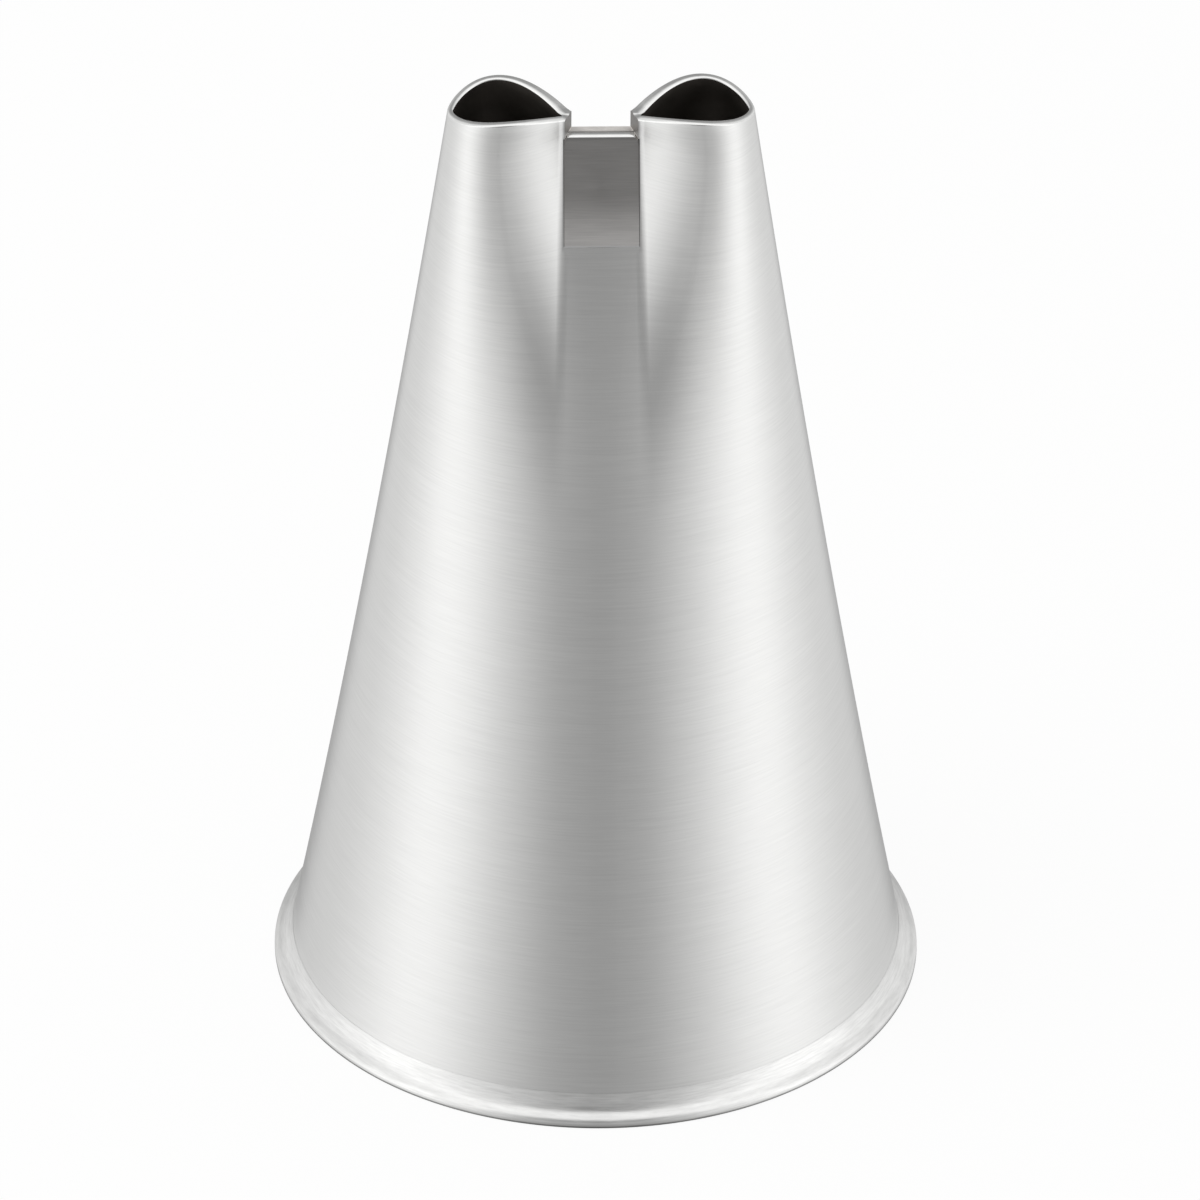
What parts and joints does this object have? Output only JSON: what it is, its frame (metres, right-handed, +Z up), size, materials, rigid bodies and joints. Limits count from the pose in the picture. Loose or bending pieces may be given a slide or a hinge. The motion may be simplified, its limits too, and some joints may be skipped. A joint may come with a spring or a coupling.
{
  "type": "piping nozzle",
  "caption": "Stainless piping nozzle: a round cone pinched into two spouts with teardrop outlets, a recessed web plate between them and a flanged foot ring.",
  "frame": {"origin": "centre of the foot, on the plane that the nozzle stands on", "axes": "+Z up along the cone to the mouth, -Y towards the front with the window and plate, +X through the right spout"},
  "size_m": [0.019, 0.019, 0.029],
  "materials": {
    "drawn_cone": "fine brushed round the cone",
    "web_plate": "brushed across, with a polished top edge",
    "foot_ring": "coarser turned and brushed"
  },
  "bodies": {
    "root": {"cone_shell": "drawn_cone", "web_plate": "web_plate", "foot_ring": "foot_ring"}
  },
  "joints": []
}
